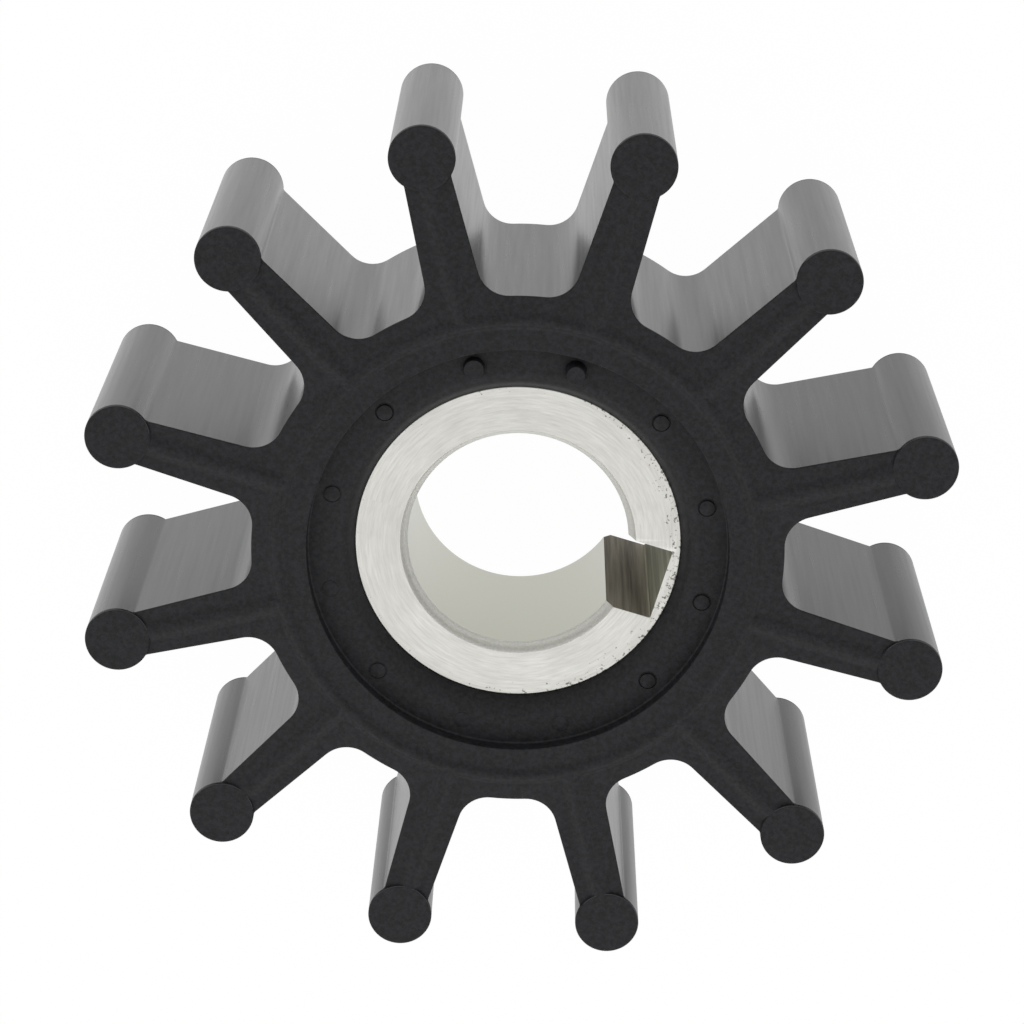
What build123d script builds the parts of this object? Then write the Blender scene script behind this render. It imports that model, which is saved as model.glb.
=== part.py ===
from build123d import *
import math
import os

# Flexible-vane pump impeller: a moulded rubber star bonded to a keyed metal hub insert.
# Millimetres. The impeller lies on one end: +Z runs along its axis, the origin is on the axis in
# the plane of the lower end, and +X runs through the keyway and the vane in line with it.

# ---- rubber body: overall ----
tip_diameter = 60.0            # across the beads of opposite vanes
impeller_width = 20.0          # over the sealing faces of the two ends
vane_count = 12

# ---- rubber body: vanes ----
bead_diameter = 4.40           # the round bead along each vane tip
vane_tip_thickness = 3.04      # at the centre of the bead
vane_root_thickness = 3.74     # where the vane leaves the hub
vane_root_fillet = 2.1         # in the corners of the pocket floor
bead_blend = 0.2               # hollow between the bead and the vane's side

# ---- rubber body: hub and end faces ----
hub_diameter = 35.8            # floor of the pockets between the vanes
face_step = 0.25               # lands, ribs and beads stand this far proud of the end faces
land_margin = 1.7              # end face left between the raised ring and the pocket floor
land_width = 1.9               # raised ring that seals against the pump's end plate
land_edge_chamfer = 0.2        # along the outer rim of the raised ring
rib_width = 0.8                # sealing rib along the middle of each vane's end, at its foot
rib_crest_width = 0.3
recess_depth = 1.95            # from the sealing face down to the floor inside the raised ring
cone_width = 0.8               # slope from that floor down to the insert, measured radially

# ---- stubs of rubber where the mould's gates were cut off, on the recess floor of the upper end ----
stub_diameter = 1.5            # at the foot
stub_draft = 7.0               # degrees, on the side
stub_height = 0.15             # cut nearly flush
long_stub_height = 1.2         # the two that were cut high
short_stub_height = 0.75

# ---- metal insert ----
insert_diameter = 22.1
insert_length = 15.0
insert_setback = 2.5           # upper face of the insert below the upper sealing face
bore_diameter = 15.0
bore_chamfer = 0.6
keyway_width = 5.0
keyway_backing = 0.85          # metal left between the keyway's floor and the insert's outside
keyway_corner = 0.2

# ---- derived places ----
vane_pitch = 360.0 / vane_count
bead_centre = (tip_diameter - bead_diameter) / 2
hub_radius = hub_diameter / 2
land_outer = hub_radius - land_margin
land_inner = land_outer - land_width
insert_radius = insert_diameter / 2
insert_top = impeller_width - insert_setback
insert_bottom = insert_top - insert_length
cone_outer = insert_radius + cone_width
recess_floor_low = recess_depth
recess_floor_high = impeller_width - recess_depth
stub_place_radius = (cone_outer + land_inner) / 2
high_stubs = {3: long_stub_height, 4: short_stub_height}   # by vane, anticlockwise from the keyway's
keyway_reach = insert_radius - keyway_backing

# ---- for building ----
STANDING = (Align.CENTER, Align.CENTER, Align.MIN)   # a round piece that stands on its location
OVERCUT = 1.0                                        # how far a cut runs out past a face


def rounded_distance(vertex):
    """Distance of a vertex from the impeller's axis, the same for all vanes."""
    return round(math.hypot(vertex.X, vertex.Y), 3)


def star_section():
    """Section of the rubber across the axis: hub, tapered vanes, beads and their blends."""
    tip_half = vane_tip_thickness / 2
    root_half = vane_root_thickness / 2
    taper = (root_half - tip_half) / (bead_centre - hub_radius)
    axis_half = root_half + taper * hub_radius
    vane = [(0, -axis_half), (bead_centre, -tip_half), (bead_centre, tip_half), (0, axis_half)]
    with BuildSketch() as star:
        Circle(hub_radius)
        with PolarLocations(0, vane_count):
            Polygon(*vane, align=None)
        with PolarLocations(bead_centre, vane_count):
            Circle(bead_diameter / 2)
        roots = star.vertices().group_by(rounded_distance)[0]
        fillet(roots, vane_root_fillet)
        necks = star.vertices().group_by(rounded_distance)[-1]
        fillet(necks, bead_blend)
    return star.sketch


def make_star():
    """Hub and vanes between the two end faces, set back from the sealing faces by the step."""
    with BuildPart() as star:
        with BuildSketch(Plane.XY.offset(face_step)):
            add(star_section())
        extrude(amount=impeller_width - 2 * face_step)
    return star.part


def make_rib():
    """One vane's sealing ribs, which run from the axis to the bead as one slab through the vane."""
    foot = rib_width / 2
    crest = rib_crest_width / 2
    top = impeller_width
    low_foot = face_step
    high_foot = impeller_width - face_step
    outline = [
        (-crest, 0), (crest, 0), (foot, low_foot), (foot, high_foot),
        (crest, top), (-crest, top), (-foot, high_foot), (-foot, low_foot),
    ]
    with BuildPart() as rib:
        with BuildSketch(Plane.YZ):
            Polygon(*outline, align=None)
        extrude(amount=bead_centre)
    return rib.part


def cavity_profile():
    """Half-section of what the hub is hollow of: both recesses, their cones and the insert's seat."""
    above = impeller_width + OVERCUT
    below = -OVERCUT
    points = [
        (0, below), (land_inner, below), (land_inner, recess_floor_low), (cone_outer, recess_floor_low),
        (insert_radius, insert_bottom), (insert_radius, insert_top),
        (cone_outer, recess_floor_high), (land_inner, recess_floor_high),
        (land_inner, above), (0, above),
    ]
    with BuildSketch(Plane.XZ) as profile:
        Polygon(*points, align=None)
    return profile.sketch


def make_land():
    """The raised ring of both ends, as one disc through the hub with bevelled outer rims."""
    with BuildPart() as land:
        Cylinder(land_outer, impeller_width, align=STANDING)
        chamfer(land.edges().filter_by(GeomType.CIRCLE), land_edge_chamfer)
    return land.part


def make_rubber_body():
    """The moulded star with its raised lands, ribs and beads, hollow where the insert sits."""
    with BuildPart() as body:
        add(make_star())
        add(make_land())
        with PolarLocations(bead_centre, vane_count):
            Cylinder(bead_diameter / 2, impeller_width, align=STANDING)
        with PolarLocations(0, vane_count):
            add(make_rib())
        revolve(cavity_profile(), Axis.Z, mode=Mode.SUBTRACT)
        for vane in range(vane_count):
            add_gate_stub(vane)
    return body.part


def add_gate_stub(vane):
    """One stub on the upper recess floor, in line with a vane, with a drafted side."""
    height = high_stubs.get(vane, stub_height)
    foot = stub_diameter / 2
    crest = foot - height * math.tan(math.radians(stub_draft))
    angle = math.radians(vane * vane_pitch)
    across = stub_place_radius * math.cos(angle)
    along = stub_place_radius * math.sin(angle)
    with Locations((across, along, recess_floor_high)):
        Cone(foot, crest, height, align=STANDING)


def make_hub_insert():
    """The turned metal insert with its bore and the broached keyway."""
    with BuildPart() as insert:
        with Locations((0, 0, insert_bottom)):
            Cylinder(insert_radius, insert_length, align=STANDING)
            Cylinder(bore_diameter / 2, insert_length, align=STANDING, mode=Mode.SUBTRACT)
        mouths = insert.edges().filter_by(GeomType.CIRCLE).group_by(lambda e: e.radius)[0]
        chamfer(mouths, bore_chamfer)
        with BuildSketch(Plane.XY.offset(insert_bottom)) as slot:
            with Locations((keyway_reach / 2, 0)):
                Rectangle(keyway_reach, keyway_width)
            fillet(slot.vertices().group_by(Axis.X)[-1], keyway_corner)
        extrude(amount=insert_length, mode=Mode.SUBTRACT)
    return insert.part


os.makedirs("parts", exist_ok=True)
export_step(make_rubber_body(), "parts/rubber_body.step")
export_step(make_hub_insert(), "parts/hub_insert.step")
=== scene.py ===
"""Flexible pump impeller: a moulded nitrile star bonded round a turned aluminium insert.

Metres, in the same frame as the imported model: +Z along the shaft, the impeller lying on its
lower end, +X through the keyway and the vane in line with it. Sizes below are in millimetres,
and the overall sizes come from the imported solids' boxes.
"""
import math

import bmesh
import bpy
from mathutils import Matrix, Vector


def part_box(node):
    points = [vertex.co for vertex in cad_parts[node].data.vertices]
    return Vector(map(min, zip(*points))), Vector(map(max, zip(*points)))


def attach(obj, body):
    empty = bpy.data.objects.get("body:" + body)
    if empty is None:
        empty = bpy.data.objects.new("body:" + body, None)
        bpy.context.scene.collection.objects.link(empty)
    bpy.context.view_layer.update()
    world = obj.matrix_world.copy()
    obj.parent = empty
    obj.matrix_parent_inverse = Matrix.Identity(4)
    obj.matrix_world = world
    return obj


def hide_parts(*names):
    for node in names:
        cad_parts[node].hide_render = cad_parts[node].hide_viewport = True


MM = 0.001

# ------------------------------------------------------------------ sizes, mm

VANES = 12
PITCH = 360 / VANES
BEAD_RADIUS = 2.2
BEAD_RIM = 0.12                # rounding of the beads' end rims
VANE_TIP_HALF = 1.52           # half the vane's thickness at the bead's centre
VANE_ROOT_HALF = 1.87          # the same where the vane leaves the hub
HUB_RADIUS = 17.9              # floor of the pockets
ROOT_ROUND = 2.1               # hollow corners of the pocket floor
NECK_ROUND = 0.4               # hollow between a bead and the vane's side
FACE_STEP = 0.25               # sealing rings, ribs and bead ends stand this far proud
EDGE_ROUND = 0.1               # rounding along the star's outline

RING_AT = 16.2                 # middle of the soft sealing ring round the hub
RING_ROUND = 0.42              # both curves of each of its sides
RECESS_RADIUS = 14.2
RECESS_RIM = 0.06              # rounding of the recess's mouth
RECESS_DEPTH = 1.35            # below the sealing plane
CONE_WIDTH = 0.8               # slope from the recess floor to the insert, measured radially
SHOULDER_ROUND = 1.0           # between the recess floor and that slope
CORNER_ROUND = 0.15            # between the recess wall and its floor

RIB_CREST = 0.1                # flat top of the sealing rings and ribs
RIB_ROUND = 0.8                # both curves of each side of the soft rib
RIB_SUNK = 0.25                # how deep the ribs reach into the vanes
RIB_BELOW_RING = 0.01          # keeps the ribs' ends inside the sealing ring
FEATHER = 0.004                # how far a soft foot dips under the face that it runs out on

STUB_DRAFT = 7.0               # degrees
STUB_RIM = 0.02
LOW_STUB_RADIUS = 0.54
HIGH_STUB_RADIUS = 0.74
HIGH_STUB = 0.5                # from this height on a stub counts as cut high
GROOVE_WIDTH = 0.12            # the ring that each gate's bush pressed round its stub
GROOVE_SHIFT = (-0.015, 0.055)  # the bushes sat a little off the stubs' centres
CLEAR_MARK = (0.06, 0.12)      # height of the stub, depth of the ring
FAINT_MARK = (0.04, 0.06)
WORN_MARK = (0.02, 0.02)
LONG_STUB = (1.1, 0.02)        # the two that were cut high
SHORT_STUB = (0.66, 0.02)
GATE_MARKS = [                 # by vane, anticlockwise from the keyway's
    CLEAR_MARK, CLEAR_MARK, CLEAR_MARK, LONG_STUB, SHORT_STUB, CLEAR_MARK,
    FAINT_MARK, WORN_MARK, FAINT_MARK, WORN_MARK, WORN_MARK, CLEAR_MARK,
]

BORE_RADIUS = 7.5
CHAMFER_WIDTH = 0.5
CHAMFER_DEPTH = 0.9
INSERT_RIM = 0.1               # rounding of the insert's outer rims
KEYWAY_HALF = 2.5
KEYWAY_REACH = 10.2            # from the axis to the keyway's floor
KEYWAY_CORNER = 0.12
KEYWAY_BACKING = 0.6           # a little less than the metal behind the keyway's floor
BROACHED_EDGE = 0.05           # rounding of the insert's cut edges
OVERCUT = 1.0                  # how far a cut runs out past a face

LATHE_STEPS = 180
TURNED_ROUND_STEPS = 4         # facets of each rounding
RIB_ROUND_STEPS = 5
NECK_STEPS = 5
ROOT_STEPS = 12
POCKET_STEPS = 3               # facets of half a pocket's floor
RIM_STEP = 30                  # degrees of a rim's quarter circle that one inset makes
BEAD_SIDES = 72
HOLE_SIDES = 144
PEG_SIDES = 40
WELD = 0.003                   # slivers narrower than this are closed after cutting
TOUCHING = 0.001               # points nearer than this are one
SLACK = 0.01                   # allowance where a face's place is compared with a size

UPRIGHT = 0.3                  # an upright side's normal has less than this of Z
RIM_SLANT = (0.2, 0.985)       # a rounded rim's normal has between these of Z
CHAMFER_SLANT = (0.2, 0.97)
HIGHLIT_SIDE = 0.3              # rims whose normals have more than this of Y get the painted highlight
SQUARE_ON = 0.9                # a face that looks along an axis has more than this of it
RUBBER_SOFT_ANGLE = 38         # degrees between faces that are shaded as one surface
METAL_SOFT_ANGLE = 35
CUT_EDGE_ANGLE = 50            # degrees from which an edge of the insert is rounded


# ------------------------------------------------------------------ modelling helpers

def only(obj):
    bpy.ops.object.select_all(action="DESELECT")
    obj.select_set(True)
    bpy.context.view_layer.objects.active = obj


def edit(obj):
    only(obj)
    bpy.ops.object.mode_set(mode="EDIT")


def leave():
    bpy.ops.object.mode_set(mode="OBJECT")
    return bpy.context.object


def place_as_modelled(obj):
    """Puts a new primitive's place and size into its mesh, and opens it for editing."""
    bpy.ops.object.transform_apply(location=True, rotation=True, scale=True)
    edit(obj)


def start_at(name, x, y, z):
    """Starts a mesh as one vertex, left selected in edit mode."""
    bpy.ops.object.select_all(action="DESELECT")
    bpy.ops.mesh.primitive_plane_add(size=MM, location=(0, 0, 0))
    obj = bpy.context.object
    obj.name = name
    bpy.ops.object.mode_set(mode="EDIT")
    bpy.ops.mesh.select_mode(type="VERT")
    bpy.ops.mesh.merge(type="CENTER")
    bpy.ops.transform.translate(value=(x * MM, y * MM, z * MM))
    return obj


def line(x, y, z=0.0):
    """Extrudes what is selected by a step."""
    bpy.ops.mesh.extrude_region_move(TRANSFORM_OT_translate={"value": (x * MM, y * MM, z * MM)})


def arc(centre, degrees, steps, axis=(0, 0, -1)):
    """Sweeps what is selected round a point, anticlockwise in plan unless an axis is given."""
    bpy.ops.mesh.spin(steps=steps, angle=math.radians(degrees),
                      center=[c * MM for c in centre], axis=axis)


def arc_up(x, z, degrees):
    """Sweeps what is selected anticlockwise in XZ."""
    arc((x, 0, z), degrees, TURNED_ROUND_STEPS, axis=(0, 1, 0))


def arc_across(centre, degrees):
    """Sweeps what is selected anticlockwise in YZ."""
    arc(centre, degrees, RIB_ROUND_STEPS, axis=(-1, 0, 0))


def merge(distance=TOUCHING):
    bpy.ops.mesh.select_all(action="SELECT")
    bpy.ops.mesh.remove_doubles(threshold=distance * MM)


def outwards():
    bpy.ops.mesh.select_all(action="SELECT")
    bpy.ops.mesh.normals_make_consistent(inside=False)


def lathe():
    """Turns the closed profile in the XZ plane once round the axis."""
    merge()
    bpy.ops.mesh.select_all(action="SELECT")
    arc((0, 0, 0), 360, LATHE_STEPS)
    merge()
    outwards()


def ring_of(count):
    """Copies all that is in the mesh round the axis, so that there are count of them."""
    bpy.ops.mesh.select_all(action="SELECT")
    bpy.ops.mesh.spin(steps=count - 1, dupli=True, angle=math.radians(360 - 360 / count),
                      center=(0, 0, 0), axis=(0, 0, -1))


def mirrored(value, centre=(0, 0, 0)):
    """Adds the mirror image of all that is in the mesh."""
    bpy.ops.mesh.select_all(action="SELECT")
    bpy.ops.mesh.duplicate()
    bpy.ops.transform.resize(value=value, center_override=centre)


def pick(obj, test, kind="faces"):
    """Selects the faces or edges that pass a test."""
    bpy.ops.mesh.select_mode(type={"edges": "EDGE", "faces": "FACE"}[kind])
    bpy.ops.mesh.select_all(action="DESELECT")
    mesh = bmesh.from_edit_mesh(obj.data)
    for part in getattr(mesh, kind):
        part.select_set(test(part))
    mesh.select_flush_mode()
    bmesh.update_edit_mesh(obj.data)


def apply_modifier(obj, kind, **settings):
    only(obj)
    modifier = obj.modifiers.new("finish", kind)
    for name, value in settings.items():
        setattr(modifier, name, value)
    bpy.ops.object.modifier_apply(modifier=modifier.name)


def combine(obj, tool, operation):
    """Joins a second mesh to a first or cuts it out of it, and uses it up."""
    apply_modifier(obj, "BOOLEAN", operation=operation, solver="EXACT", object=tool)
    bpy.data.objects.remove(tool)


def paint(obj, material, test):
    """Gives a material to the faces that pass a test."""
    obj.data.materials.append(material)
    edit(obj)
    pick(obj, test)
    obj.active_material_index = len(obj.data.materials) - 1
    bpy.ops.object.material_slot_assign()
    leave()


def smooth(obj, degrees):
    """Shades smooth across soft edges, with flat faces kept flat beside their rounded rims."""
    only(obj)
    bpy.ops.object.shade_smooth_by_angle(angle=math.radians(degrees))
    apply_modifier(obj, "WEIGHTED_NORMAL", keep_sharp=True)


# ------------------------------------------------------------------ rubber body

def hub_ring(width, insert_radius, insert_low, insert_high):
    """The hub from the insert to the foot of the sealing rings, turned from its section."""
    rim, corner = RECESS_RIM, CORNER_ROUND
    step = FACE_STEP + FEATHER
    half_crest = RIB_CREST / 2
    soft = math.degrees(math.acos(1 - step / (2 * RING_ROUND)))
    half = half_crest + 2 * RING_ROUND * math.sin(math.radians(soft))
    slope = math.degrees(math.atan((width - RECESS_DEPTH - insert_high) / CONE_WIDTH))
    shoulder = insert_radius + CONE_WIDTH
    set_back = SHOULDER_ROUND * math.tan(math.radians(slope / 2))
    floor_width = RECESS_RADIUS - corner - shoulder - set_back
    wall = RECESS_DEPTH - step - rim - corner
    cone_run = CONE_WIDTH - set_back * math.cos(math.radians(slope))
    cone_drop = cone_run * math.tan(math.radians(slope))
    start_at("moulded_star", RING_AT + half, 0, step)
    line(0, 0, width - 2 * step)
    arc_up(RING_AT + half, width - step + RING_ROUND, -soft)
    arc_up(RING_AT + half_crest, width - RING_ROUND, soft)
    line(-RIB_CREST, 0)
    arc_up(RING_AT - half_crest, width - RING_ROUND, soft)
    arc_up(RING_AT - half, width - step + RING_ROUND, -soft)
    line(RECESS_RADIUS + rim - RING_AT + half, 0)
    arc_up(RECESS_RADIUS + rim, width - step - rim, 90)
    line(0, 0, -wall)
    arc_up(RECESS_RADIUS - corner, width - RECESS_DEPTH + corner, -90)
    line(-floor_width, 0)
    arc_up(shoulder + set_back, width - RECESS_DEPTH - SHOULDER_ROUND, slope)
    line(-cone_run, 0, -cone_drop)
    line(0, 0, insert_low - insert_high)
    line(cone_run, 0, -cone_drop)
    arc_up(shoulder + set_back, RECESS_DEPTH + SHOULDER_ROUND, slope)
    line(floor_width, 0)
    arc_up(RECESS_RADIUS - corner, RECESS_DEPTH - corner, -90)
    line(0, 0, -wall)
    arc_up(RECESS_RADIUS + rim, step + rim, 90)
    line(RING_AT - half - RECESS_RADIUS - rim, 0)
    arc_up(RING_AT - half, step - RING_ROUND, -soft)
    arc_up(RING_AT - half_crest, RING_ROUND, soft)
    line(RIB_CREST, 0)
    arc_up(RING_AT + half_crest, RING_ROUND, soft)
    arc_up(RING_AT + half, step - RING_ROUND, -soft)
    lathe()
    return leave()


def half_vane(bead_at):
    """Half of one vane's outline in plan, from the bead's centre to the middle of the pocket."""
    taper = (VANE_ROOT_HALF - VANE_TIP_HALF) / (bead_at - HUB_RADIUS)
    slope = math.atan(taper)
    flank = (VANE_ROOT_HALF + taper * HUB_RADIUS) * math.cos(slope)
    neck_reach = BEAD_RADIUS + NECK_ROUND
    neck_turn = math.acos((flank + NECK_ROUND - bead_at * math.sin(slope)) / neck_reach)
    root_reach = HUB_RADIUS + ROOT_ROUND
    root_turn = math.acos((flank + ROOT_ROUND) / root_reach)
    run = (bead_at * math.cos(slope) - neck_reach * math.sin(neck_turn)
           - root_reach * math.sin(root_turn))
    lean = neck_turn - slope
    neck = (bead_at - neck_reach * math.sin(lean), neck_reach * math.cos(lean), 0)
    root_lean = math.pi / 2 - root_turn - slope
    root = (root_reach * math.cos(root_lean), root_reach * math.sin(root_lean), 0)
    obj = start_at("star", bead_at, 0, FACE_STEP)
    line(-BEAD_RADIUS * math.sin(lean), BEAD_RADIUS * math.cos(lean))
    arc(neck, -math.degrees(neck_turn), NECK_STEPS)
    line(-run * math.cos(slope), run * math.sin(slope))
    arc(root, -math.degrees(root_turn), ROOT_STEPS)
    arc((0, 0, 0), PITCH / 2 - math.degrees(root_lean), POCKET_STEPS)
    return obj


def round_end(obj, level):
    """Rounds the rim of the flat end at a level, by insets that rise along a quarter circle."""
    pick(obj, lambda face: abs(face.calc_center_median().z / MM - level) < TOUCHING)
    for start in range(0, 90, RIM_STEP):
        before, after = math.radians(start), math.radians(start + RIM_STEP)
        inwards = EDGE_ROUND * (math.cos(before) - math.cos(after))
        upwards = EDGE_ROUND * (math.sin(after) - math.sin(before))
        bpy.ops.mesh.inset(thickness=inwards * MM, depth=upwards * MM, use_even_offset=True)


def star(width, bead_at):
    """Pocket floors and tapered vanes, as one slab with a hole under the sealing rings."""
    obj = half_vane(bead_at)
    mirrored((1, -1, 1))
    merge()
    ring_of(VANES)
    merge()
    bpy.ops.mesh.primitive_circle_add(vertices=HOLE_SIDES, radius=RING_AT * MM,
                                      location=(0, 0, FACE_STEP * MM))
    bpy.ops.mesh.select_all(action="SELECT")
    bpy.ops.mesh.fill()
    bpy.ops.transform.translate(value=(0, 0, EDGE_ROUND * MM))
    bpy.ops.mesh.select_mode(type="FACE")
    low = FACE_STEP + EDGE_ROUND
    high = width - low
    line(0, 0, high - low)
    outwards()
    round_end(obj, low)
    round_end(obj, high)
    return leave()


def rise(edge):
    return abs(edge.verts[0].co.z - edge.verts[1].co.z) / MM


def beads(width, bead_at):
    """The round beads of all vanes, with softened end rims."""
    bpy.ops.object.select_all(action="DESELECT")
    bpy.ops.mesh.primitive_cylinder_add(vertices=BEAD_SIDES, radius=BEAD_RADIUS * MM,
                                        depth=width * MM,
                                        location=(bead_at * MM, 0, width / 2 * MM))
    obj = bpy.context.object
    place_as_modelled(obj)
    pick(obj, lambda edge: rise(edge) < TOUCHING, "edges")
    bpy.ops.mesh.bevel(offset=BEAD_RIM * MM, segments=3, affect="EDGES")
    for level in (FACE_STEP, width - FACE_STEP):
        bpy.ops.mesh.select_all(action="SELECT")
        bpy.ops.mesh.bisect(plane_co=(0, 0, level * MM), plane_no=(0, 0, 1))
    ring_of(VANES)
    return leave()


def ribs(width, bead_at):
    """The soft sealing ribs along the middle of every vane's two ends."""
    foot, crest = width - FACE_STEP - FEATHER, width - RIB_BELOW_RING
    soft = math.degrees(math.acos(1 - (crest - foot) / (2 * RIB_ROUND)))
    side = RIB_CREST / 2
    half = side + 2 * RIB_ROUND * math.sin(math.radians(soft))
    start_at("ribs", RING_AT, -half, foot)
    arc_across((RING_AT, -half, foot + RIB_ROUND), soft)
    arc_across((RING_AT, -side, crest - RIB_ROUND), -soft)
    line(0, RIB_CREST)
    arc_across((RING_AT, side, crest - RIB_ROUND), -soft)
    arc_across((RING_AT, half, foot + RIB_ROUND), soft)
    line(0, 0, -RIB_SUNK)
    line(0, -2 * half)
    line(0, 0, RIB_SUNK)
    merge()
    bpy.ops.mesh.select_all(action="SELECT")
    bpy.ops.mesh.edge_face_add()
    bpy.ops.mesh.select_mode(type="FACE")
    line(bead_at - RING_AT, 0)
    ring_of(VANES)
    mirrored((1, 1, -1), (0, 0, width / 2 * MM))
    outwards()
    return leave()


def round_peg(radius, low, high, place, vane, shift=(0, 0)):
    """A drafted peg on the recess floor, in line with a vane."""
    angle = math.radians(PITCH * vane)
    x = place * math.cos(angle) + shift[0]
    y = place * math.sin(angle) + shift[1]
    crest = radius - (high - low) * math.tan(math.radians(STUB_DRAFT))
    bpy.ops.object.select_all(action="DESELECT")
    bpy.ops.mesh.primitive_cone_add(vertices=PEG_SIDES, radius1=radius * MM, radius2=crest * MM,
                                    depth=(high - low) * MM,
                                    location=(x * MM, y * MM, (low + high) / 2 * MM))
    obj = bpy.context.object
    place_as_modelled(obj)
    pick(obj, lambda edge: all(v.co.z > (high - TOUCHING) * MM for v in edge.verts), "edges")
    bpy.ops.mesh.bevel(offset=STUB_RIM * MM, segments=2, affect="EDGES")
    return leave()


def joined(pieces):
    """Makes several meshes one."""
    only(pieces[0])
    for piece in pieces:
        piece.select_set(True)
    bpy.ops.object.join()
    return bpy.context.object


def stub_radius(height):
    return HIGH_STUB_RADIUS if height > HIGH_STUB else LOW_STUB_RADIUS


def gate_stubs(floor, place):
    """Rubber left where the gates were cut, nearly flush but for two that were cut high."""
    return joined([round_peg(stub_radius(height), floor - depth, floor + height, place, vane)
                   for vane, (height, depth) in enumerate(GATE_MARKS)])


def gate_grooves(floor, place):
    """The rings round the stubs, some of them all but filled."""
    return joined([round_peg(stub_radius(height) + GROOVE_WIDTH, floor - depth,
                             floor + OVERCUT, place, vane, GROOVE_SHIFT)
                   for vane, (height, depth) in enumerate(GATE_MARKS)])


def off_core(face, width):
    """Whether a face is an upright side of a vane or pocket, between the two end faces."""
    x, y, z = face.calc_center_median() / MM
    return (abs(face.normal.z) < UPRIGHT and math.hypot(x, y) > RING_AT
            and FACE_STEP < z < width - FACE_STEP)


def highlit_bead_rim(face, width, bead_at):
    """Whether a face is on the rounded rim of a bead's end, on the +Y side that gets a painted
    highlight.
    """
    x, y, z = face.calc_center_median() / MM
    turn = round(math.atan2(y, x) / math.radians(PITCH)) * math.radians(PITCH)
    reach = math.hypot(x - bead_at * math.cos(turn), y - bead_at * math.sin(turn))
    from_end = width / 2 - abs(z - width / 2)
    return (RIM_SLANT[0] < abs(face.normal.z) < RIM_SLANT[1] and face.normal.y > HIGHLIT_SIDE
            and BEAD_RADIUS - BEAD_RIM < reach < BEAD_RADIUS and 0 < from_end < BEAD_RIM)


def moulded_star():
    """The whole rubber body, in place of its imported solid."""
    _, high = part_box("rubber_body")
    insert_low, insert_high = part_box("hub_insert")
    width = high[2] / MM
    bead_at = high[0] / MM - BEAD_RADIUS
    insert_radius = insert_high[0] / MM
    floor = width - RECESS_DEPTH
    place = (insert_radius + CONE_WIDTH + RECESS_RADIUS) / 2
    body = hub_ring(width, insert_radius, insert_low[2] / MM, insert_high[2] / MM)
    combine(body, star(width, bead_at), "UNION")
    combine(body, beads(width, bead_at), "UNION")
    combine(body, ribs(width, bead_at), "UNION")
    combine(body, gate_grooves(floor, place), "DIFFERENCE")
    combine(body, gate_stubs(floor, place), "UNION")
    edit(body)
    merge(WELD)
    leave()
    paint(body, nitrile_off_plate(), lambda face: True)
    paint(body, nitrile_off_core(), lambda face: off_core(face, width))
    # painted highlight: the +Y side of the beads' rims gets a paler, smoother rubber
    paint(body, highlit_rim_nitrile(), lambda face: highlit_bead_rim(face, width, bead_at))
    smooth(body, RUBBER_SOFT_ANGLE)
    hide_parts("rubber_body")
    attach(body, "root")
    return body


# ------------------------------------------------------------------ metal insert

def keyway_cutter(low, high):
    """A bar through the bore and out to the keyway's floor, its two far corners rounded."""
    bpy.ops.object.select_all(action="DESELECT")
    bpy.ops.mesh.primitive_cube_add(size=MM, location=(KEYWAY_REACH / 2 * MM, 0,
                                                       (low + high) / 2 * MM))
    obj = bpy.context.object
    obj.scale = (KEYWAY_REACH, 2 * KEYWAY_HALF, high - low + 2 * OVERCUT)
    place_as_modelled(obj)
    pick(obj, lambda edge: rise(edge) > TOUCHING
         and all(v.co.x > KEYWAY_HALF * MM for v in edge.verts), "edges")
    bpy.ops.mesh.bevel(offset=KEYWAY_CORNER * MM, segments=4, affect="EDGES")
    return leave()


def keyed_insert():
    """The turned insert with its chamfered bore and broached keyway, in place of its solid."""
    box_low, box_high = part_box("hub_insert")
    low, high, radius = box_low[2] / MM, box_high[2] / MM, box_high[0] / MM
    rim = INSERT_RIM
    face = radius - rim - BORE_RADIUS - CHAMFER_WIDTH
    obj = start_at("keyed_insert", radius, 0, low + rim)
    line(0, 0, high - low - 2 * rim)
    arc_up(radius - rim, high - rim, 90)
    line(-face, 0)
    line(-CHAMFER_WIDTH, 0, -CHAMFER_DEPTH)
    line(0, 0, low - high + 2 * CHAMFER_DEPTH)
    line(CHAMFER_WIDTH, 0, -CHAMFER_DEPTH)
    line(face, 0)
    arc_up(radius - rim, low + rim, 90)
    lathe()
    leave()
    combine(obj, keyway_cutter(low, high), "DIFFERENCE")
    edit(obj)
    merge(WELD)
    leave()
    apply_modifier(obj, "BEVEL", width=BROACHED_EDGE * MM, segments=2, limit_method="ANGLE",
                   angle_limit=math.radians(CUT_EDGE_ANGLE))
    paint(obj, turned_face(), lambda face: True)
    paint(obj, bored_wall(), lambda face: abs(face.normal.z) < CHAMFER_SLANT[0] / 2
          and near_bore(face))
    # the chamfers get a paler tone than the face, a painted highlight
    paint(obj, highlit_chamfer(), lambda face:
          CHAMFER_SLANT[0] < abs(face.normal.z) < CHAMFER_SLANT[1] and near_bore(face))
    paint(obj, broached("aluminium_broached_wall", "#5e594e", "#b0aa9c", 0.7), in_keyway)
    paint(obj, broached("aluminium_broached_floor", "#797969", "#9b9b8a", 0.5),
          lambda face: in_keyway(face) and abs(face.normal.x) > SQUARE_ON)
    smooth(obj, METAL_SOFT_ANGLE)
    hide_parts("hub_insert")
    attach(obj, "root")
    return obj


def near_bore(face):
    """Whether a face is on the bore's wall or its chamfers."""
    mouth = BORE_RADIUS + CHAMFER_WIDTH + BROACHED_EDGE
    return math.hypot(*face.calc_center_median().xy) < mouth * MM


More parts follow.
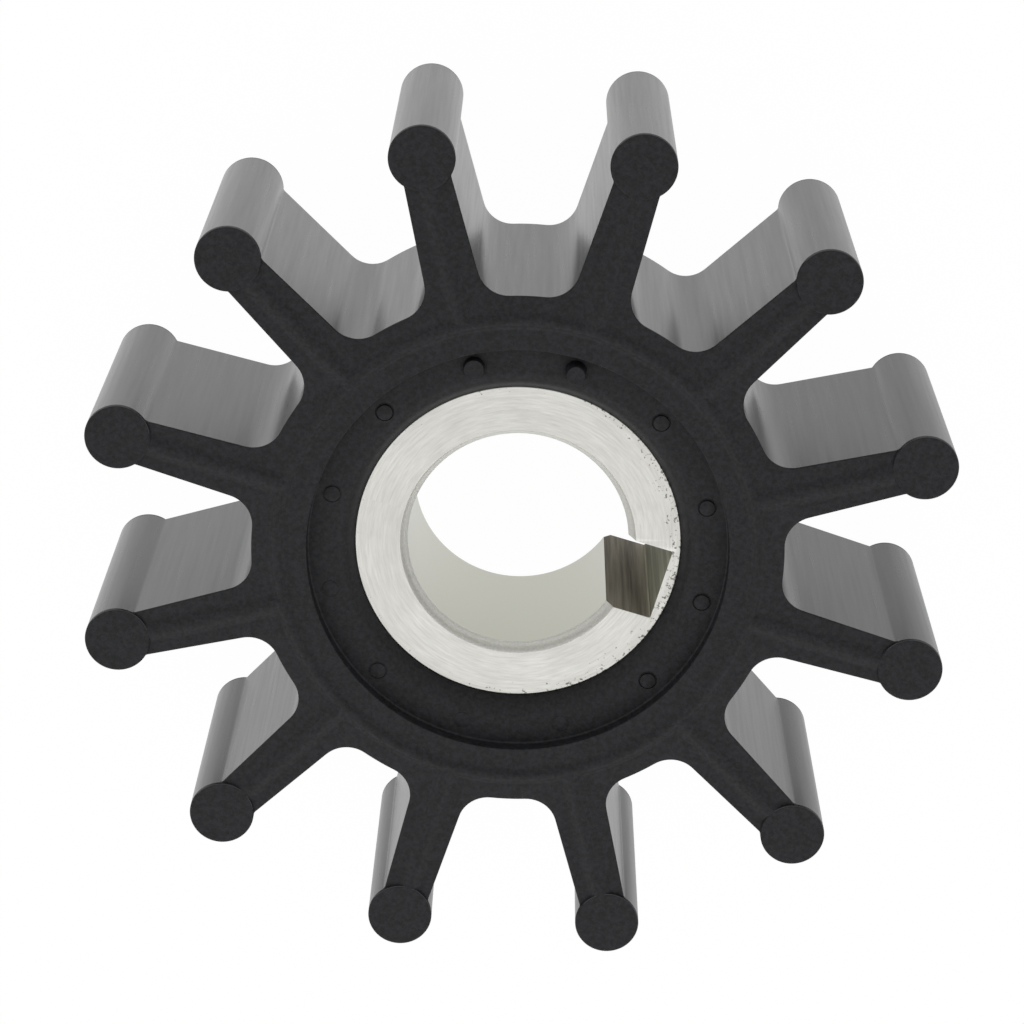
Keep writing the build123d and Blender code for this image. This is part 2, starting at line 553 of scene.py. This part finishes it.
def in_keyway(face):
    """Whether a face is on the slot's two walls, its floor or the corners between them."""
    x, y, _ = face.calc_center_median() / MM
    upright = abs(face.normal.z) < CHAMFER_SLANT[0]
    beside = (abs(face.normal.y) > SQUARE_ON and x > 0
              and abs(abs(y) - KEYWAY_HALF) < KEYWAY_CORNER)
    far = x > KEYWAY_REACH - 2 * KEYWAY_CORNER and abs(y) < KEYWAY_HALF + SLACK
    inside = math.hypot(x, y) < KEYWAY_REACH + KEYWAY_BACKING
    return upright and (beside or far) and inside


# ------------------------------------------------------------------ material helpers

def linear(hex_colour):
    """An sRGB hex value as the linear RGBA that shader sockets hold."""
    channels = [int(hex_colour[i:i + 2], 16) / 255 for i in (1, 3, 5)]
    curve = [c / 12.92 if c <= 0.04045 else ((c + 0.055) / 1.055) ** 2.4 for c in channels]
    return (*curve, 1.0)


def add_node(tree, kind, settings=None, **inputs):
    """Adds a node, sets its properties, then fills or links its inputs by name or by number.

    An input takes a value, a hex colour, a socket, or a node, which gives its own result.
    """
    node = tree.nodes.new(kind)
    for name, value in (settings or {}).items():
        setattr(node, name, value)
    for name, value in inputs.items():
        key = int(name[1:]) if name[0] == "_" else name.replace("_", " ")
        if isinstance(value, bpy.types.Node):
            value = next(socket for socket in value.outputs if socket.enabled)
        if isinstance(value, bpy.types.NodeSocket):
            tree.links.new(value, node.inputs[key])
        else:
            node.inputs[key].default_value = linear(value) if isinstance(value, str) else value
    return node


def new_material(name):
    """An empty node material, its tree, and where on the piece a point lies, in metres."""
    material = bpy.data.materials.new(name)
    material.use_nodes = True
    tree = material.node_tree
    tree.nodes.clear()
    return material, tree, add_node(tree, "ShaderNodeTexCoord").outputs["Object"]


# A colour mix takes its factor at input 0 and its two colours at inputs 6 and 7.
COLOURS = {"data_type": "RGBA"}
TIMES = {"operation": "MULTIPLY"}
PLUS = {"operation": "ADD"}
LARGER = {"operation": "MAXIMUM"}
MARK_TURN = 0.8                # mm of a turned mark's pattern for each radian round the axis


# ------------------------------------------------------------------ materials

def nitrile_off_plate():
    """Nitrile rubber, black with carbon, compression moulded against a blasted end plate.

    Matt and very dark, with the plate's grain, drawn coarse enough to show.
    """
    material, tree, place = new_material("nitrile_rubber_off_blasted_plate")
    grain = add_node(tree, "ShaderNodeTexNoise", Vector=place, Scale=1 / (0.28 * MM),
                     Detail=4.0, Roughness=0.7)
    spread = add_node(tree, "ShaderNodeMapRange", Value=grain, From_Min=0.36, From_Max=0.64)
    tone = add_node(tree, "ShaderNodeMix", COLOURS, _0=spread, _6="#040406", _7="#1d1d21")
    bump = add_node(tree, "ShaderNodeBump", Strength=0.4, Distance=0.02 * MM, Height=grain)
    shader = add_node(tree, "ShaderNodeBsdfPrincipled", Base_Color=tone, Roughness=0.6,
                      IOR=1.5, Specular_IOR_Level=0.3, Normal=bump)
    add_node(tree, "ShaderNodeOutputMaterial", Surface=shader)
    return material


def highlit_rim_nitrile():
    """The same rubber on the +Y side of the beads' rims, smoother, and paler as a painted
    highlight.
    """
    material, tree, place = new_material("nitrile_rubber_painted_rim_highlight")
    wear = add_node(tree, "ShaderNodeTexNoise", Vector=place, Scale=1 / (0.5 * MM),
                    Detail=4.0, Roughness=0.7)
    # painted highlight: this tone is paler than the end plate's rubber
    tone = add_node(tree, "ShaderNodeMix", COLOURS, _0=wear, _6="#101013", _7="#2b2b2e")
    shader = add_node(tree, "ShaderNodeBsdfPrincipled", Base_Color=tone, Roughness=0.36,
                      IOR=1.5, Specular_IOR_Level=0.5)
    add_node(tree, "ShaderNodeOutputMaterial", Surface=shader)
    return material


def nitrile_off_core():
    """The same rubber where it slid off the mould's polished cores.

    A satin skin with faint streaks along the way it was drawn.
    """
    material, tree, place = new_material("nitrile_rubber_off_polished_core")
    drawn = add_node(tree, "ShaderNodeMapping", Vector=place, Scale=(1.0, 1.0, 0.03))
    streaks = add_node(tree, "ShaderNodeTexNoise", Vector=drawn, Scale=1 / (0.35 * MM),
                       Detail=3.0, Roughness=0.6)
    rough = add_node(tree, "ShaderNodeMapRange", Value=streaks, From_Min=0.3, From_Max=0.7,
                     To_Min=0.27, To_Max=0.32)
    bump = add_node(tree, "ShaderNodeBump", Strength=0.1, Distance=0.01 * MM, Height=streaks)
    shader = add_node(tree, "ShaderNodeBsdfPrincipled", Base_Color="#1a1a1a", Roughness=rough,
                      IOR=1.5, Specular_IOR_Level=0.6, Normal=bump)
    add_node(tree, "ShaderNodeOutputMaterial", Surface=shader)
    return material


def lathe_place(tree, place):
    """Radius, turn and height, as a vector in metres on which marks run far round the axis."""
    parts = add_node(tree, "ShaderNodeSeparateXYZ", _0=place)
    x, y, z = parts.outputs
    flat = add_node(tree, "ShaderNodeCombineXYZ", _0=x, _1=y)
    radius = add_node(tree, "ShaderNodeVectorMath", {"operation": "LENGTH"}, _0=flat)
    angle = add_node(tree, "ShaderNodeMath", {"operation": "ARCTAN2"}, _0=y, _1=x)
    turn = add_node(tree, "ShaderNodeMath", TIMES, _0=angle, _1=MARK_TURN * MM)
    return add_node(tree, "ShaderNodeCombineXYZ", _0=radius, _1=turn, _2=z)


def turned_face():
    """Aluminium alloy, faced on the lathe: pale, satin, with fine marks that run round the axis.

    It is a little uneven in tone, and pitted along the rim on the keyway's side.
    """
    material, tree, place = new_material("aluminium_faced_on_lathe")
    round_place = lathe_place(tree, place)
    marks = add_node(tree, "ShaderNodeTexNoise", Vector=round_place, Scale=1 / (0.13 * MM),
                     Detail=4.0, Roughness=0.65)
    spread = add_node(tree, "ShaderNodeMapRange", Value=marks, From_Min=0.3, From_Max=0.7)
    tone = add_node(tree, "ShaderNodeMix", COLOURS, _0=spread, _6="#cccbc5", _7="#e4e3de")
    sheen = add_node(tree, "ShaderNodeTexNoise", Vector=place, Scale=1 / (5 * MM), Detail=2.0)
    patches = add_node(tree, "ShaderNodeMapRange", Value=sheen, From_Min=0.35, From_Max=0.65,
                       To_Min=0.0, To_Max=0.35)
    uneven = add_node(tree, "ShaderNodeMix", COLOURS, _0=patches, _6=tone, _7="#c3c1bb")
    radius = add_node(tree, "ShaderNodeSeparateXYZ", _0=round_place).outputs[0]
    by_rim = add_node(tree, "ShaderNodeMapRange", Value=radius, From_Min=9.6 * MM,
                      From_Max=11.0 * MM, To_Min=-0.2, To_Max=0.05)
    across = add_node(tree, "ShaderNodeSeparateXYZ", _0=place).outputs[0]
    by_keyway = add_node(tree, "ShaderNodeMapRange", Value=across, From_Min=0.0,
                         From_Max=8 * MM, To_Min=-0.12, To_Max=0.03)
    pits = add_node(tree, "ShaderNodeTexNoise", Vector=place, Scale=1 / (0.22 * MM), Detail=2.0)
    where = add_node(tree, "ShaderNodeMath", PLUS, _0=by_rim, _1=by_keyway)
    deep = add_node(tree, "ShaderNodeMath", PLUS, _0=where, _1=pits)
    pitted = add_node(tree, "ShaderNodeMapRange", Value=deep, From_Min=0.58, From_Max=0.68,
                      To_Min=0.0, To_Max=0.8)
    colour = add_node(tree, "ShaderNodeMix", COLOURS, _0=pitted, _6=uneven, _7="#55534d")
    bump = add_node(tree, "ShaderNodeBump", Strength=0.25, Distance=0.01 * MM, Height=marks)
    shader = add_node(tree, "ShaderNodeBsdfPrincipled", Base_Color=colour, Roughness=0.34,
                      Metallic=1.0, Normal=bump)
    add_node(tree, "ShaderNodeOutputMaterial", Surface=shader)
    return material


def bored_wall():
    """The reamed bore: smoother than the face, a little greyer, with fine marks round it."""
    material, tree, place = new_material("aluminium_reamed")
    round_marks = add_node(tree, "ShaderNodeMapping", Vector=place, Scale=(0.1, 0.1, 1.0))
    marks = add_node(tree, "ShaderNodeTexNoise", Vector=round_marks, Scale=1 / (0.2 * MM),
                     Detail=3.0)
    bump = add_node(tree, "ShaderNodeBump", Strength=0.15, Distance=0.01 * MM, Height=marks)
    shader = add_node(tree, "ShaderNodeBsdfPrincipled", Base_Color="#b3b3a7", Roughness=0.3,
                      Metallic=1.0, Normal=bump)
    add_node(tree, "ShaderNodeOutputMaterial", Surface=shader)
    return material


def highlit_chamfer():
    """The chamfers at the bore's mouths, cut rougher than the face, with a fine speckle.

    The torn skin scatters light as well as mirroring it, so it is not all metallic. Its tone is
    paler than the face's, a painted highlight for the glints along the chamfers.
    """
    material, tree, place = new_material("aluminium_chamfered_painted_highlight")
    chatter = add_node(tree, "ShaderNodeTexNoise", Vector=place, Scale=1 / (0.15 * MM),
                       Detail=3.0)
    # painted highlight: paler than the turned face, standing in for the chamfers' glints
    tone = add_node(tree, "ShaderNodeMix", COLOURS, _0=chatter, _6="#cfcec9", _7="#fbfaf6")
    bump = add_node(tree, "ShaderNodeBump", Strength=0.5, Distance=0.02 * MM, Height=chatter)
    shader = add_node(tree, "ShaderNodeBsdfPrincipled", Base_Color=tone, Roughness=0.4,
                      Metallic=0.6, Normal=bump)
    add_node(tree, "ShaderNodeOutputMaterial", Surface=shader)
    return material


def broached(name, dark, light, streak):
    """Aluminium torn and stained by the broach: dull brownish grey, streaked along its pull."""
    material, tree, place = new_material(name)
    pulled = add_node(tree, "ShaderNodeMapping", Vector=place, Scale=(1.0, 1.0, 0.03))
    streaks = add_node(tree, "ShaderNodeTexNoise", Vector=pulled, Scale=1 / (streak * MM),
                       Detail=4.0, Roughness=0.6)
    spread = add_node(tree, "ShaderNodeMapRange", Value=streaks, From_Min=0.35, From_Max=0.65)
    tone = add_node(tree, "ShaderNodeMix", COLOURS, _0=spread, _6=dark, _7=light)
    bump = add_node(tree, "ShaderNodeBump", Strength=0.3, Distance=0.03 * MM, Height=streaks)
    shader = add_node(tree, "ShaderNodeBsdfPrincipled", Base_Color=tone, Roughness=0.75,
                      Metallic=0.8, Normal=bump)
    add_node(tree, "ShaderNodeOutputMaterial", Surface=shader)
    return material


# ------------------------------------------------------------------ studio

CAMERA_PLACE = (-20.76 * MM, 74.87 * MM, 238.91 * MM)
CAMERA_TURN = (-18.820, 0.667, 17.100)   # degrees
CAMERA_LENS = 121.89
SENSOR = 36.0
CLIP = (0.01, 10.0)            # metres, the nearest and farthest that it sees
FLOOR_SIZE = 4.0               # metres
PAPER_WHITE = 0.985            # how much of the floor's look is plain white, the rest its shade
FLOOR_SPAN = 40 * MM           # over which the floor's reflection fades from one side to the other
FLOOR_LEFT = 1.15              # how strong that reflection is on the -X side
FLOOR_RIGHT = 0.9              # and on the +X side
TENT_TOP = 0.75                # strength of the light tent overhead and at its sides
TENT_SIDES = 1.3
TENT_LEAN = 0.33               # how much brighter its -Y side is, and how much darker its +Y side
LEAN_REACH = 0.5               # the most that a direction's Y times its Z comes to


def make_camera():
    data = bpy.data.cameras.new("camera")
    data.lens = CAMERA_LENS
    data.sensor_width = SENSOR
    data.clip_start, data.clip_end = CLIP
    camera = bpy.data.objects.new("camera", data)
    camera.location = CAMERA_PLACE
    camera.rotation_euler = [math.radians(a) for a in CAMERA_TURN]
    bpy.context.scene.collection.objects.link(camera)
    bpy.context.scene.camera = camera


def make_floor():
    """A white paper sweep, which keeps the object's shadow and shows plain white elsewhere."""
    bpy.ops.object.select_all(action="DESELECT")
    bpy.ops.mesh.primitive_plane_add(size=FLOOR_SIZE, location=(0, 0, 0))
    floor = bpy.context.object
    floor.name = "floor"
    material, tree, place = new_material("paper_sweep_white")
    ray = add_node(tree, "ShaderNodeLightPath").outputs
    seen = add_node(tree, "ShaderNodeMath", LARGER, _0=ray["Is Camera Ray"],
                    _1=ray["Is Glossy Ray"])
    seen = add_node(tree, "ShaderNodeMath", LARGER, _0=seen, _1=ray["Is Transmission Ray"])
    share = add_node(tree, "ShaderNodeMath", TIMES, _0=seen, _1=PAPER_WHITE)
    paper = add_node(tree, "ShaderNodeBsdfDiffuse", Color="#f6f6f6")
    across = add_node(tree, "ShaderNodeSeparateXYZ", _0=place).outputs[0]
    sideways = add_node(tree, "ShaderNodeMapRange", Value=across, From_Min=-FLOOR_SPAN,
                        From_Max=FLOOR_SPAN, To_Min=FLOOR_LEFT, To_Max=FLOOR_RIGHT)
    strength = add_node(tree, "ShaderNodeMix", _0=ray["Is Glossy Ray"], _2=1.0, _3=sideways)
    white = add_node(tree, "ShaderNodeEmission", Color="#ffffff", Strength=strength)
    both = add_node(tree, "ShaderNodeMixShader", _0=share, _1=paper, _2=white)
    add_node(tree, "ShaderNodeOutputMaterial", Surface=both)
    material.cycles.emission_sampling = "NONE"
    floor.data.materials.append(material)


def make_world():
    """A light tent, brighter low down and on one side, and plain white to the camera."""
    world = bpy.data.worlds.new("studio")
    world.use_nodes = True
    tree = world.node_tree
    tree.nodes.clear()
    place = add_node(tree, "ShaderNodeTexCoord").outputs["Generated"]
    _, y, z = add_node(tree, "ShaderNodeSeparateXYZ", _0=place).outputs
    height = add_node(tree, "ShaderNodeMath", TIMES, _0=z, _1=z)
    tent = add_node(tree, "ShaderNodeMapRange", Value=height, To_Min=TENT_SIDES, To_Max=TENT_TOP)
    lean = add_node(tree, "ShaderNodeMath", TIMES, _0=y, _1=z)
    one_sided = add_node(tree, "ShaderNodeMapRange", Value=lean, From_Min=-LEAN_REACH,
                         From_Max=LEAN_REACH, To_Min=1 + TENT_LEAN, To_Max=1 - TENT_LEAN)
    tone = add_node(tree, "ShaderNodeMath", TIMES, _0=tent, _1=one_sided)
    ray = add_node(tree, "ShaderNodeLightPath").outputs
    strength = add_node(tree, "ShaderNodeMix", _0=ray["Is Camera Ray"], _2=tone, _3=1.0)
    light = add_node(tree, "ShaderNodeBackground", Color="#ffffff", Strength=strength)
    add_node(tree, "ShaderNodeOutputWorld", Surface=light)
    bpy.context.scene.world = world


# ------------------------------------------------------------------ build

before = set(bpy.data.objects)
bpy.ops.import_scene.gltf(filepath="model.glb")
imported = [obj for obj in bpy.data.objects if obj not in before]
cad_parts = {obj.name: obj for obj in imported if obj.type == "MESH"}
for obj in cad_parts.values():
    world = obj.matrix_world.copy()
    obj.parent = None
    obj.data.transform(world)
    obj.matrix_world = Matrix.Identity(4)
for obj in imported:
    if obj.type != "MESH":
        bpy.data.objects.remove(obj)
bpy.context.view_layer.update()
moulded_star()
keyed_insert()
make_camera()
make_floor()
make_world()
bpy.context.scene.view_settings.view_transform = "Standard"
